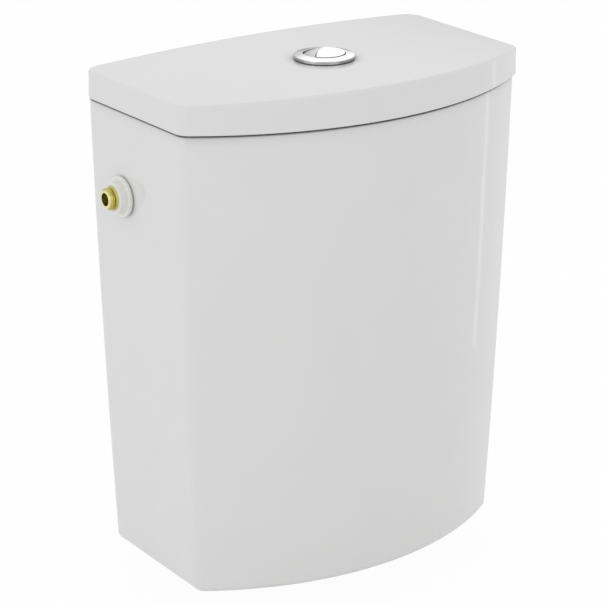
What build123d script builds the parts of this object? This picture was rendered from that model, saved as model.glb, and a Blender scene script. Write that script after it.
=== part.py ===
from build123d import *
from math import radians, sin, sqrt
import os

# Close-coupled toilet cistern in millimetres.
# The origin is on the flush outlet's axis, in the plane of the tank's underside.
# X points right as seen from the front, Y points back to the wall and Z points up.

# Plan of the lid, which sets the outline of the whole cistern
cistern_width = 310.0
back_plane = 94.0
lid_side_depth = 134.5
front_bow = 50.5
front_taper = 1.0
lid_back_radius = 13.5
lid_front_radius = 13.0

# Tank
tank_height = 363.2
tank_inset = 2.2
tank_bottom_half_back = 138.0
tank_bottom_half_front = 139.2
tank_bottom_side_depth = 127.2
tank_bottom_bow = 42.7
tank_back_radius = 10.8
tank_front_radius = 8.3
tank_wall = 8.0
tank_floor = 10.0
tank_foot_radius = 4.2
tank_cove_radius = 7.0
tank_rim_radius = 1.1
inside_corner_radius = 12.0
side_curve_share = 0.58

# Lid
seam_gap = 1.2
lid_edge_height = 20.9
lid_crown = 4.8
lid_top_radius = 2.3
lid_foot_radius = 1.1
lid_draft = 0.8
lid_wall = 9.0
lid_thickness = 8.0
lid_seat_inset = 6.0
lug_drop = 7.0
lug_thickness = 5.0
lug_width = 26.0
lug_clearance = 1.5

# Push button
button_turn = -45.0
bezel_radius = 22.9
bezel_height = 3.0
bezel_cone_rise = 1.3
bezel_opening_radius = 16.1
bezel_edge_radius = 0.5
bezel_foot_radius = 0.6
bezel_skirt = 1.4
housing_radius = 18.3
housing_bore_radius = 15.9
housing_rim_thickness = 1.1
housing_depth = 30.0
housing_floor = 2.5
lid_hole_clearance = 1.0
nut_radius = 26.0
nut_height = 8.0
nut_lug_count = 6
nut_lug_radius = 3.0
button_gap = 0.5
button_split_offset = 5.5
button_split_radius = 69.0
button_plate = 3.0
button_stand = 0.5
half_button_fall = 1.8
button_skirt_wall = 1.6
button_skirt_depth = 5.0
button_edge_radius = 0.4
button_travel = 5.0
push_rod_reach = 10.0
push_rod_radius = 2.7
push_stem_radius = 4.6
push_stem_depth = 5.0
spring_radius = 4.0
spring_wire_radius = 0.35
spring_turns = 6
spring_steps = 4

# Flush valve below the levers
outlet_bore_radius = 25.0
tail_radius = 29.8
tail_drop = 24.0
tail_pitch = 2.31
tail_thread_depth = 0.9
tail_chamfer = 1.4
base_flange_radius = 42.0
base_flange = 5.0
seat_lip_radius = 28.5
seat_lip_height = 4.0
seat_mouth_radius = 27.0
seat_mouth_depth = 3.0
base_washer = 3.0
outlet_washer = 3.0
outlet_nut_radius = 39.0
outlet_nut_height = 9.0
outlet_nut_lugs = 8
outlet_nut_lug_radius = 4.0
tank_outlet_clearance = 1.7
cage_radius = 36.0
cage_wall = 2.5
cage_height = 92.0
cage_deck = 4.0
cage_foot_ring = 6.0
cage_window_width = 34.0
cage_rib = 10.0
cage_slot_width = 22.0
cage_slot_height = 26.0
cage_slot_drop = 12.0
tube_radius = 17.0
tube_wall = 2.0
tube_head_room = 11.0
tube_collar_radius = 20.0
tube_collar = 3.0
carrier_radius = 27.0
carrier_plate = 5.0
carrier_hub_radius = 21.0
carrier_hub = 12.0
seal_radius = 31.5
seal_thickness = 2.0
clamp_radius = 22.5
clamp_height = 1.2
tube_float_radius = 30.0
tube_float_gap = 11.0
tube_float_room = 7.75
tube_float_wall = 1.6

# Frame that carries the levers
post_reach = 27.0
post_thickness = 5.0
post_width = 12.0
post_socket = 26.0
post_socket_wall = 2.0
lever_room = 64.1
head_plate = 6.0
head_radius = 35.0
pivot_reach = 24.0
pivot_rise = 11.0
ear_thickness = 3.0
ear_radius = 4.5
ear_gap = 8.6
lever_pin_radius = 1.5
lever_pin_head_radius = 2.6
lever_pin_head = 1.0
lever_width = 8.0
lever_thickness = 5.0
lever_hub_radius = 4.0
lever_pad_end = 5.0
lever_tip_end = 44.0
lever_tip_width = 6.0
rod_to_lever_gap = 0.4

# Yoke that lifts the overflow tube
yoke_collar_drop = 37.0
yoke_collar = 6.0
yoke_collar_radius = 22.0
yoke_bar_width = 8.0
yoke_strap_reach = 40.0
yoke_strap_thickness = 3.0
yoke_strap_width = 16.0
yoke_window_width = 9.0
yoke_window_gap = 0.7
yoke_strap_cap = 4.0

# Half-flush float on its guide beside a post
float_guide_radius = 2.5
float_guide_reach = 40.0
float_bracket_rise = 36.0
float_bracket = 4.0
float_bracket_width = 14.0
float_travel = 6.0
half_float_width = 32.0
half_float_depth = 15.0
half_float_height = 36.0
half_float_wall = 1.6

# Water inlet in the left side
inlet_setback = 50.0
inlet_drop = 65.0
inlet_thread_radius = 8.33
inlet_pitch = 1.34
inlet_thread_depth = 0.6
inlet_bore_radius = 5.0
inlet_shank_radius = 8.9
inlet_relief = 0.6
inlet_chamfer = 0.9
inlet_reach = 15.6
inlet_hole_clearance = 0.5
inlet_nut_radius = 15.5
inlet_nut_flange = 2.1
inlet_hub_radius = 12.0
inlet_hub = 6.0
inlet_nut_round = 0.6
inlet_washer_radius = 15.2
inlet_washer = 0.8
inner_washer_radius = 15.5
inner_washer = 2.13
filter_depth = 9.0
filter_length = 14.0
filter_wall = 1.0
filter_slot = 1.2
filter_slot_pairs = 4

# Fill valve
valve_flange_radius = 15.0
valve_flange = 3.0
valve_barrel_radius = 11.5
tail_engagement = 18.0
chamber_reach = 39.1
chamber_radius = 20.0
chamber_length = 29.0
chamber_face_gap = 24.0
chamber_wall = 3.0
valve_diaphragm_radius = 17.5
diaphragm_thickness = 2.0
cover_radius = 19.7
cover_thickness = 4.0
pilot_radius = 3.0
pilot_length = 4.0
pilot_bore_radius = 0.7
cap_nut_radius = 24.0
cap_nut_lip = 2.5
cap_nut_lip_radius = 17.0
cap_nut_grip = 10.0
cap_nut_ribs = 16
cap_nut_rib_radius = 1.2
arm_pivot_drop = 10.0
arm_pivot_advance = 7.0
arm_ear_radius = 3.4
arm_ear_thickness = 2.6
arm_ear_gap = 9.4
arm_pin_radius = 1.5
arm_pin_head_radius = 2.4
arm_pin_head = 0.8
arm_travel = 12.0
pad_gap = 0.3
arm_width = 8.4
arm_hub_radius = 3.6
arm_thickness = 4.0
arm_boss_radius = 6.0
arm_boss_height = 8.0
screw_radius = 2.4
screw_collar_radius = 4.0
screw_collar = 1.6
screw_head_radius = 5.5
screw_head = 6.0
screw_head_ribs = 12
screw_head_rib_radius = 0.8
screw_length = 58.0
cup_place_share = 0.4377
cup_radius_share = 0.2764
cup_height = 48.0
cup_wall = 1.6
cup_top_gap = 1.5
cup_hub_radius = 5.0
cup_skirt_radius = 2.0
spigot_radius = 7.0
spigot_length = 12.0
spigot_bore_radius = 5.2
spigot_setback = 3.5
silencer_wall = 1.6
silencer_overlap = 9.0
silencer_clearance = 48.0

# Holes for the pan bolts and the wall screws
pan_bolt_spacing = 155.0
pan_bolt_radius = 6.5
wall_screw_spacing = 150.0
wall_screw_radius = 4.0
wall_screw_drop = 38.2

# Shared clearances
running_fit = 0.05
thread_fit = 0.1
sliding_gap = 0.4
close_gap = 0.2
overrun = 5.0

# Levels that follow from the sizes above
lid_low = tank_height + seam_gap
lid_edge_top = lid_low + lid_edge_height
lid_top = lid_edge_top + lid_crown
lid_inside = lid_top - lid_thickness
lid_half = cistern_width / 2
bezel_top = lid_top + bezel_height
button_top = bezel_top + bezel_cone_rise + button_stand
button_low = button_top - button_plate
housing_low = lid_top - housing_depth
housing_floor_top = housing_low + housing_floor
head_plate_low = housing_low - lever_room
head_top = head_plate_low + head_plate
pivot_height = head_top + pivot_rise
lever_low = pivot_height - lever_thickness / 2
lever_high = pivot_height + lever_thickness / 2
rod_low = lever_high + rod_to_lever_gap
tube_lift = button_travel * (yoke_strap_reach + yoke_strap_thickness / 2 - pivot_reach)
tube_lift /= pivot_reach - push_rod_reach
tube_top = head_plate_low - tube_head_room
yoke_collar_low = tube_top - yoke_collar_drop
seat_level = tank_floor + base_washer + base_flange + seat_lip_height
flange_top = seat_level - seat_lip_height
cage_top = flange_top + cage_height
float_bracket_low = cage_top + float_bracket_rise
carrier_low = seat_level + seal_thickness
tube_float_low = carrier_low + carrier_plate + carrier_hub + tube_float_gap
tube_float_top = cage_top - cage_deck - tube_lift - tube_float_room
inlet_y = back_plane - inlet_setback
inlet_height = tank_height - inlet_drop
wall_screw_height = tank_height - wall_screw_drop
silencer_low = tank_floor + silencer_clearance
tube_bore_radius = tube_radius - tube_wall
lid_hole_radius = housing_radius + lid_hole_clearance

UPRIGHT = (Align.CENTER, Align.CENTER, Align.MIN)
CORNER = (Align.MIN, Align.MIN, Align.MIN)


def rod_z(radius, low, high, x=0.0, y=0.0):
    return Pos(x, y, low) * Cylinder(radius, high - low, align=UPRIGHT)


def rod_x(radius, low, high, y=0.0, z=0.0):
    return Pos(low, y, z) * Rot(0, 90, 0) * Cylinder(radius, high - low, align=UPRIGHT)


def rod_y(radius, low, high, x=0.0, z=0.0):
    return Pos(x, low, z) * Rot(-90, 0, 0) * Cylinder(radius, high - low, align=UPRIGHT)


def tube_z(outer, inner, low, high, x=0.0, y=0.0):
    return rod_z(outer, low, high, x, y) - rod_z(inner, low - overrun, high + overrun, x, y)


def block(x_span, y_span, z_span):
    size = [span[1] - span[0] for span in (x_span, y_span, z_span)]
    return Pos(x_span[0], y_span[0], z_span[0]) * Box(*size, align=CORNER)


def mid_block(x_span, width, z_span):
    return block(x_span, (-width / 2, width / 2), z_span)


def threaded_rod(radius, depth, pitch, lead, length):
    """Upright rod from the origin: a chamfered end, then V grooves between flat crests."""
    turns = int((length - lead) / pitch)
    points = [(0, 0), (radius - lead, 0), (radius, lead)]
    for turn in range(turns):
        low = lead + turn * pitch
        points += [(radius, low + pitch / 3), (radius - depth, low + pitch * 2 / 3), (radius, low + pitch)]
    points += [(radius, length), (0, length)]
    profile = Plane.XZ * make_face(Polyline(*points, close=True))
    return revolve(profile, Axis.Z)


def ring_of(shape, count):
    return [Rot(0, 0, 360 / count * number) * shape for number in range(count)]


# Plan outline of the ceramic
def bow_circle(half_front, side_depth, bow):
    """Radius of the bowed front and the place of its centre on the Y axis."""
    radius = (half_front ** 2 + bow ** 2) / (2 * bow)
    return radius, back_plane - side_depth - bow + radius


def plan_face(section, z, inset=0.0, least_radius=0.0):
    """Face with a straight back, nearly straight sides and a bowed front."""
    half_back, half_front, side_depth, bow, back_radius, front_radius = section
    bow_radius, bow_centre = bow_circle(half_front, side_depth, bow)
    front_x = half_front - inset
    front_y = bow_centre - sqrt((bow_radius - inset) ** 2 - front_x ** 2)
    back_x = half_back - inset
    back_y = back_plane - inset
    edges = [
        Line((-back_x, back_y), (back_x, back_y)),
        Line((back_x, back_y), (front_x, front_y)),
        ThreePointArc((front_x, front_y), (0, bow_centre - bow_radius + inset), (-front_x, front_y)),
        Line((-front_x, front_y), (-back_x, back_y)),
    ]
    face = make_face(edges)
    face = fillet(face.vertices().group_by(Axis.Y)[-1], max(back_radius - inset, least_radius))
    face = fillet(face.vertices().group_by(Axis.Y)[0], max(front_radius - inset, least_radius))
    return Pos(0, 0, z) * face


lid_section = (
    lid_half,
    lid_half - front_taper,
    lid_side_depth,
    front_bow,
    lid_back_radius,
    lid_front_radius,
)
tank_top_section = (
    lid_half - tank_inset,
    lid_half - front_taper - tank_inset,
    lid_side_depth - tank_inset,
    front_bow,
    tank_back_radius,
    tank_front_radius,
)
tank_bottom_section = (
    tank_bottom_half_back,
    tank_bottom_half_front,
    tank_bottom_side_depth,
    tank_bottom_bow,
    tank_back_radius,
    tank_front_radius,
)


def tank_section(z):
    """Outline of the tank at a height: it narrows faster towards the foot."""
    share = 1 - z / tank_height
    mix = side_curve_share * share + (1 - side_curve_share) * share ** 2
    return [top + (bottom - top) * mix for top, bottom in zip(tank_top_section, tank_bottom_section)]


def tank_half_width(z):
    return tank_section(z)[0]


def tank_loft(low, high, inset=0.0, least_radius=0.0):
    levels = [low + (high - low) * step / 4 for step in range(5)]
    return loft([plan_face(tank_section(z), z, inset, least_radius) for z in levels])


def tank_outside():
    block_shape = tank_loft(0.0, tank_height)
    return fillet(block_shape.edges().group_by(Axis.Z)[0], tank_foot_radius)


def tank_inside():
    space = tank_loft(tank_floor, tank_height + overrun, tank_wall, inside_corner_radius)
    return fillet(space.edges().group_by(Axis.Z)[0], tank_cove_radius)


def tank():
    body = tank_outside() - tank_inside()
    body = fillet(body.edges().group_by(Axis.Z)[-1], tank_rim_radius)
    body -= rod_z(tail_radius + tank_outlet_clearance, -overrun, tank_floor + overrun)
    for side in (-1, 1):
        bolt_x = side * pan_bolt_spacing / 2
        body -= rod_z(pan_bolt_radius, -overrun, tank_floor + overrun, bolt_x)
        screw_x = side * wall_screw_spacing / 2
        wall_inside = back_plane - tank_wall - overrun
        body -= rod_y(wall_screw_radius, wall_inside, back_plane + overrun, screw_x, wall_screw_height)
    hole_radius = inlet_shank_radius + inlet_hole_clearance
    body -= rod_x(hole_radius, -lid_half, inner_wall_x() + overrun, inlet_y, inlet_height)
    return body


# Lid
def crown_prism(low, edge_top):
    """Everything between a level and the crowned top, over the whole plan."""
    half = lid_half + overrun
    drop = lid_crown * ((half / lid_half) ** 2 - 1)
    edges = [
        Line((-half, low), (half, low)),
        Line((half, low), (half, edge_top - drop)),
        ThreePointArc((half, edge_top - drop), (0, edge_top + lid_crown), (-half, edge_top - drop)),
        Line((-half, edge_top - drop), (-half, low)),
    ]
    front = back_plane - lid_side_depth - front_bow - overrun
    profile = Pos(0, back_plane + overrun, 0) * (Plane.XZ * make_face(edges))
    return extrude(profile, back_plane + overrun - front)


def lid_lugs():
    """Six lugs inside the tank's mouth that keep the lid from sliding."""
    radius = inside_corner_radius
    outer = tank_inset + tank_wall + lug_clearance
    inner = outer + lug_thickness
    low = tank_height - lug_drop
    drop = extrude(plan_face(lid_section, low, outer, radius), lug_drop * 2)
    root = extrude(plan_face(lid_section, tank_height, lid_wall - lug_clearance, radius), lug_drop)
    hollow = extrude(plan_face(lid_section, low - overrun, inner, radius), lid_edge_height * 2)
    ring = drop + root - hollow
    half = lug_width / 2
    front = back_plane - lid_side_depth - front_bow
    depth = (front, back_plane)
    height = (low - overrun, lid_edge_top)
    side_y = back_plane - lid_side_depth / 2
    windows = block((-lid_half, lid_half), (side_y - half, side_y + half), height)
    for x in (-lid_half / 2, lid_half / 2):
        windows += block((x - half, x + half), depth, height)
    return ring & windows


def lid():
    wall = loft([plan_face(lid_section, lid_low), plan_face(lid_section, lid_top + overrun, lid_draft)])
    shell = wall & crown_prism(lid_low - overrun, lid_edge_top)
    top_face = shell.faces().sort_by(Axis.Z)[-1]
    shell = fillet(top_face.edges(), lid_top_radius)
    shell = fillet(shell.edges().group_by(Axis.Z)[0], lid_foot_radius)
    radius = inside_corner_radius
    cavity = extrude(plan_face(lid_section, lid_low - overrun, lid_wall, radius), lid_edge_height * 2)
    shell -= cavity & crown_prism(lid_low - overrun * 2, lid_edge_top - lid_thickness)
    seat = extrude(plan_face(lid_section, tank_height, lid_seat_inset), seam_gap * 2)
    seat -= extrude(plan_face(lid_section, tank_height - overrun, lid_wall, radius), overrun * 3)
    shell = shell + seat + lid_lugs()
    crown_drop = lid_crown * (nut_radius / lid_half) ** 2
    shell -= rod_z(bezel_radius + button_gap, lid_top - crown_drop, lid_top + overrun)
    shell -= rod_z(nut_radius + button_gap, lid_inside - lid_thickness, lid_inside)
    shell -= rod_z(lid_hole_radius, lid_inside - overrun, lid_top + overrun)
    return shell


# Push button in the lid
def bezel_seat():
    return lid_top - lid_crown * (nut_radius / lid_half) ** 2


def button_ring():
    inner_top = bezel_top + bezel_cone_rise
    skirt_inner = bezel_radius - bezel_skirt
    rim_top = bezel_seat() + housing_rim_thickness
    points = [
        (bezel_opening_radius, rim_top),
        (skirt_inner, rim_top),
        (skirt_inner, bezel_seat()),
        (bezel_radius, bezel_seat()),
        (bezel_radius, bezel_top),
        (bezel_opening_radius, inner_top),
    ]
    ring = revolve(Plane.XZ * make_face(Polyline(*points, close=True)), Axis.Z)
    rims = ring.edges().filter_by(GeomType.CIRCLE).group_by(Axis.Z)
    ring = fillet(rims[-1] + rims[-2], bezel_edge_radius)
    foot = ring.edges().filter_by(GeomType.CIRCLE).group_by(Axis.Z)[0]
    return fillet(foot.sort_by(SortBy.RADIUS)[-1], bezel_foot_radius)


def button_housing():
    rim_radius = bezel_radius - bezel_skirt - thread_fit
    rim = rod_z(rim_radius, bezel_seat(), bezel_seat() + housing_rim_thickness)
    body = rim + rod_z(housing_radius, housing_low, bezel_seat() + housing_rim_thickness)
    body -= rod_z(housing_bore_radius, housing_floor_top, lid_top + overrun)
    for side in (-1, 1):
        hole = rod_z(push_rod_radius + sliding_gap, housing_low - overrun, lid_top, side * push_rod_reach)
        body -= hole
    return turned(body)


def button_nut():
    low = lid_inside - nut_height
    grip_radius = nut_radius - nut_lug_radius
    nut = rod_z(grip_radius, low, lid_inside)
    for lug in ring_of(rod_z(nut_lug_radius, low, lid_inside, grip_radius), nut_lug_count):
        nut += lug
    return nut - rod_z(housing_radius + thread_fit, low - overrun, lid_top)


def turned(shape):
    """Turn a piece of the flush mechanism to the split line of the button."""
    return Rot(0, 0, button_turn) * shape


def split_cut(side, low, high):
    """Space that a half of the button keeps: outside or inside the split arc."""
    centre_x = button_split_radius - button_split_offset
    gap = button_gap / 2
    if side > 0:
        return rod_z(button_split_radius - gap, low, high, centre_x)
    outer = rod_z(bezel_radius, low, high)
    return outer - rod_z(button_split_radius + gap, low - overrun, high + overrun, centre_x)


def button_key(side):
    """One half of the split button: a plate with a skirt and a stem for its rod."""
    radius = bezel_opening_radius - button_gap
    skirt_low = button_low - button_skirt_depth
    shape = rod_z(radius, skirt_low, button_top)
    shape &= split_cut(side, skirt_low - overrun, button_top + overrun)
    if side < 0:
        shape -= half_button_slope(radius)
    shape = fillet(shape.faces().sort_by(Axis.Z)[-1].edges(), button_edge_radius)
    inner_radius = radius - button_skirt_wall
    hollow = rod_z(inner_radius, skirt_low - overrun, button_low)
    hollow &= offset_split(side, skirt_low - overrun * 2, button_low + overrun)
    shape -= hollow
    stem_x = side * push_rod_reach
    stem = rod_z(push_stem_radius, button_low - push_stem_depth, button_low, stem_x)
    shape += stem & rod_z(radius, skirt_low, button_low)
    bore_top = button_low - push_stem_depth / 2
    shape -= rod_z(push_rod_radius + thread_fit, skirt_low - overrun, bore_top, stem_x)
    return turned(shape)


def half_button_slope(radius):
    """Space over the half-flush button, whose top falls away from the middle of the button."""
    points = [
        (0, button_top),
        (-radius * 2, button_top - half_button_fall * 2),
        (-radius * 2, button_top + overrun),
        (0, button_top + overrun),
    ]
    profile = Pos(0, radius, 0) * (Plane.XZ * make_face(Polyline(*points, close=True)))
    return extrude(profile, radius * 2)


def offset_split(side, low, high):
    centre_x = button_split_radius - button_split_offset
    if side > 0:
        return rod_z(button_split_radius - button_skirt_wall, low, high, centre_x)
    outer = rod_z(bezel_radius, low, high)
    return outer - rod_z(button_split_radius + button_skirt_wall, low - overrun, high + overrun, centre_x)


def push_rod(side):
    """Screwed rod from a button to its lever, rounded where it pushes."""
    top = button_low - push_stem_depth / 2
    x = side * push_rod_reach
    shape = rod_z(push_rod_radius, rod_low + push_rod_radius, top, x)
    return turned(shape + Pos(x, 0, rod_low + push_rod_radius) * Sphere(push_rod_radius))


def arcs_along(coil, steps):
    """Path along a helix that has two arcs for each step, meeting without a kink."""
    arcs = []
    for step in range(steps):
        start = coil @ (step / steps)
        end = coil @ ((step + 1) / steps)
        leave = coil % (step / steps)
        arrive = coil % ((step + 1) / steps)
        chord = end - start
        bend = 1 - leave.dot(arrive)
        along = chord.dot(leave + arrive)
        reach = (sqrt(along ** 2 + 2 * bend * chord.dot(chord)) - along) / (2 * bend)
        middle = (start + leave * reach + end - arrive * reach) / 2
        arcs += [TangentArc(start, middle, tangent=leave), TangentArc(end, middle, tangent=-arrive)]
    return Wire(arcs)


def button_spring(side):
    low = housing_floor_top + spring_wire_radius + close_gap / 2
    high = button_low - push_stem_depth - spring_wire_radius - close_gap / 2
    height = high - low
    coil = Helix(pitch=height / spring_turns, height=height, radius=spring_radius)
    wire = Plane(origin=coil @ 0, z_dir=coil % 0) * Circle(spring_wire_radius)
    spring = sweep(wire, path=arcs_along(coil, spring_turns * spring_steps))
    return turned(Pos(side * push_rod_reach, 0, low) * spring)


# Flush valve
def outlet_base():
    low = tank_floor + base_washer
    thread = threaded_rod(tail_radius, tail_thread_depth, tail_pitch, tail_chamfer, tail_drop)
    tail = Pos(0, 0, -tail_drop) * thread
    body = tail + rod_z(tail_radius, 0.0, low) + rod_z(base_flange_radius, low, flange_top)
    body += rod_z(seat_lip_radius, flange_top, seat_level)
    body -= rod_z(seat_mouth_radius, seat_level - seat_mouth_depth, seat_level + overrun)
    return body - rod_z(outlet_bore_radius, -tail_drop - overrun, seat_level)


def base_seal():
    return tube_z(base_flange_radius, tail_radius + close_gap, tank_floor, tank_floor + base_washer)


def outlet_seal():
    return tube_z(outlet_nut_radius, tail_radius + close_gap, -outlet_washer, 0.0)


def outlet_nut():
    low = -outlet_washer - outlet_nut_height
    grip_radius = outlet_nut_radius - outlet_nut_lug_radius / 2
    nut = rod_z(grip_radius, low, -outlet_washer)
    for lug in ring_of(rod_z(outlet_nut_lug_radius, low, -outlet_washer, grip_radius), outlet_nut_lugs):
        nut += lug
    return nut - rod_z(tail_radius + thread_fit, low - overrun, 0.0)


def valve_cage():
    """Slotted cage on the base, with a deck that guides the overflow tube."""
    deck_low = cage_top - cage_deck
    body = tube_z(cage_radius, cage_radius - cage_wall, flange_top, cage_top)
    body += rod_z(cage_radius, deck_low, cage_top)
    body -= rod_z(tube_radius + sliding_gap, deck_low - overrun, cage_top + overrun)
    spread = (-cage_radius - overrun, cage_radius + overrun)
    slot_top = cage_top - cage_slot_drop
    slot_low = slot_top - cage_slot_height
    for window_width, window_span in (
        (cage_window_width, (flange_top + cage_foot_ring, slot_low - cage_rib)),
        (cage_slot_width, (slot_low, slot_top)),
    ):
        window = mid_block(spread, window_width, window_span)
        opening = window + Rot(0, 0, 90) * window
        body -= opening - rod_z(tube_float_radius, 0.0, cage_top)
    for side in (-1, 1):
        body += turned(post_socket_box(side))
    return body


def post_socket_box(side):
    half_width = post_width / 2 + thread_fit
    half_thickness = post_thickness / 2 + thread_fit
    y = side * post_reach
    wall = post_socket_wall
    top = cage_top + post_socket
    outer = block(
        (-half_width - wall, half_width + wall),
        (y - half_thickness - wall, y + half_thickness + wall),
        (cage_top, top),
    )
    inner = block(
        (-half_width, half_width), (y - half_thickness, y + half_thickness), (cage_top, top + overrun)
    )
    return outer - inner


def lever_frame():
    """Head plate on two posts, with ears for the levers and a guide for the half-flush float."""
    body = rod_z(head_radius, head_plate_low, head_top)
    for side in (-1, 1):
        y = side * post_reach
        half = post_thickness / 2
        body += block((-post_width / 2, post_width / 2), (y - half, y + half), (cage_top, head_top))
        body += lever_ears(side)
    for low in (float_bracket_low, float_bracket_low + float_bracket + half_float_height + float_travel):
        body += float_arm_bracket(low)
    guide_top = float_bracket_low + float_bracket * 2 + half_float_height + float_travel
    body += rod_z(float_guide_radius, float_bracket_low, guide_top, 0.0, -float_guide_reach)
    return turned(body)


def lever_ears(side):
    x = side * pivot_reach
    foot = head_top - close_gap
    ears = Part()
    for face in (-1, 1):
        inner = face * ear_gap / 2
        outer = inner + face * ear_thickness
        span = (min(inner, outer), max(inner, outer))
        ears += rod_y(ear_radius, span[0], span[1], x, pivot_height)
        ears += block((x - ear_radius, x + ear_radius), span, (foot, pivot_height))
    reach = ear_gap / 2 + ear_thickness + overrun
    return ears - rod_y(lever_pin_radius + running_fit, -reach, reach, x, pivot_height)


def float_arm_bracket(low):
    half = float_bracket_width / 2
    top = low + float_bracket
    arm = block((-half, half), (-float_guide_reach, -post_reach), (low, top))
    return arm + rod_z(half, low, top, 0.0, -float_guide_reach)


def lever_pin(side):
    x = side * pivot_reach
    half = ear_gap / 2 + ear_thickness
    pin = rod_y(lever_pin_radius, -half, half + lever_pin_head, x, pivot_height)
    head = rod_y(lever_pin_head_radius, half, half + lever_pin_head, x, pivot_height)
    return turned(pin + head)


def flush_lever(side):
    """Rocker: its inner end is pushed down and its outer tip lifts the yoke."""
    strap_inner = yoke_strap_reach - yoke_strap_thickness
    bar = mid_block((lever_pad_end, strap_inner), lever_width, (lever_low, lever_high))
    bar += mid_block((pivot_reach, lever_tip_end), lever_tip_width, (lever_low, lever_high))
    bar += rod_y(lever_hub_radius, -lever_width / 2, lever_width / 2, pivot_reach, pivot_height)
    bore = lever_pin_radius + running_fit
    bar -= rod_y(bore, -lever_width, lever_width, pivot_reach, pivot_height)
    shape = bar if side > 0 else Rot(0, 0, 180) * bar
    return turned(shape)


def lift_yoke():
    """Collar round the overflow tube with a strap up to each lever's tip."""
    low = yoke_collar_low
    top = low + yoke_collar
    bar_end = yoke_strap_reach + yoke_strap_thickness / 2
    body = rod_z(yoke_collar_radius, low, top) + mid_block((-bar_end, bar_end), yoke_bar_width, (low, top))
    body -= rod_z(tube_radius + thread_fit, low - overrun, top + overrun)
    window_low = lever_low - tube_lift - yoke_window_gap * 2
    for side, window_top in (
        (1, lever_high + yoke_window_gap),
        (-1, lever_high + tube_lift + yoke_window_gap * 2),
    ):
        x = side * yoke_strap_reach
        span = (x - yoke_strap_thickness / 2, x + yoke_strap_thickness / 2)
        strap = mid_block(span, yoke_strap_width, (low, window_top + yoke_strap_cap))
        cut = (span[0] - overrun, span[1] + overrun)
        body += strap - mid_block(cut, yoke_window_width, (window_low, window_top))
    return turned(body)


def overflow_tube():
    body = rod_z(tube_radius, seat_level - clamp_height, tube_top)
    for low in (yoke_collar_low - tube_collar, yoke_collar_low + yoke_collar):
        body += rod_z(tube_collar_radius, low, low + tube_collar)
    return body - rod_z(tube_bore_radius, 0.0, tube_top + overrun)


def seal_carrier():
    plate_top = carrier_low + carrier_plate
    body = rod_z(carrier_radius, carrier_low, plate_top)
    body += rod_z(carrier_hub_radius, carrier_low, plate_top + carrier_hub)
    return body - rod_z(tube_radius + thread_fit, carrier_low - overrun, plate_top + carrier_hub + overrun)


def flush_seal():
    return tube_z(seal_radius, tube_radius + thread_fit, seat_level, carrier_low)


def seal_clamp():
    return tube_z(clamp_radius, tube_radius + thread_fit, seat_level - clamp_height, seat_level)


def tube_float():
    """Inverted cup round the tube that holds it up while water is high."""
    body = rod_z(tube_float_radius, tube_float_low, tube_float_top)
    wall = tube_float_wall
    ring = tube_z(
        tube_float_radius - wall,
        tube_radius + thread_fit + wall,
        tube_float_low - overrun,
        tube_float_top - wall,
    )
    body -= ring
    return body - rod_z(tube_radius + thread_fit, 0.0, tube_float_top + overrun)


def half_flush_float():
    low = float_bracket_low + float_bracket
    top = low + half_float_height
    half_x = half_float_width / 2
    half_y = half_float_depth / 2
    y = -float_guide_reach
    body = block((-half_x, half_x), (y - half_y, y + half_y), (low, top))
    wall = half_float_wall
    hub_radius = float_guide_radius + sliding_gap + wall
    hollow = block(
        (-half_x + wall, half_x - wall), (y - half_y + wall, y + half_y - wall), (low - overrun, top - wall)
    )
    body -= hollow - rod_z(hub_radius, low - overrun, top, 0.0, y)
    body -= rod_z(float_guide_radius + sliding_gap, low - overrun, top + overrun, 0.0, y)
    return turned(body)


# Inlet through the left wall
def outer_wall_x():
    return -tank_half_width(inlet_height)


def half_widths_across(radius):
    """Half widths of the tank at the bottom and the top of a disc on the inlet's axis."""
    return [tank_half_width(inlet_height + side * radius) for side in (-1, 1)]


def inner_wall_x():
    return outer_wall_x() + tank_wall


def inlet_end_x():
    return outer_wall_x() - inlet_reach


def washer_face_x():
    """Where the backnut presses: the washer is thinnest where the wall stands out most."""
    return -max(half_widths_across(inlet_washer_radius)) - inlet_washer


def valve_face_x():
    """Where the fill valve's flange presses on the inner washer."""
    return tank_wall - min(half_widths_across(inner_washer_radius)) + inner_washer


def hub_face_x():
    """Outer face of the backnut's hub."""
    return washer_face_x() - inlet_nut_flange - inlet_hub


def inlet_tail():
    """Brass tail: a thread for the hose nut, a relief groove and a wider shank for the backnut."""
    shank_start = hub_face_x() - close_gap - inlet_chamfer - inlet_end_x()
    length = valve_face_x() + tail_engagement - inlet_end_x()
    thread_end = shank_start - inlet_relief
    tail = threaded_rod(inlet_thread_radius, inlet_thread_depth, inlet_pitch, inlet_chamfer, thread_end)
    tail += rod_z(inlet_thread_radius - inlet_thread_depth, 0.0, shank_start)
    shank_length = length - shank_start
    shank = threaded_rod(inlet_shank_radius, inlet_thread_depth, inlet_pitch, inlet_chamfer, shank_length)
    tail += Pos(0, 0, shank_start) * shank
    bore = rod_z(inlet_bore_radius, -overrun, length + overrun)
    mouth_radius = inlet_bore_radius + inlet_chamfer
    mouth = Cone(mouth_radius, inlet_bore_radius, inlet_chamfer, align=UPRIGHT)
    return Pos(inlet_end_x(), inlet_y, inlet_height) * Rot(0, 90, 0) * (tail - bore - mouth)


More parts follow.
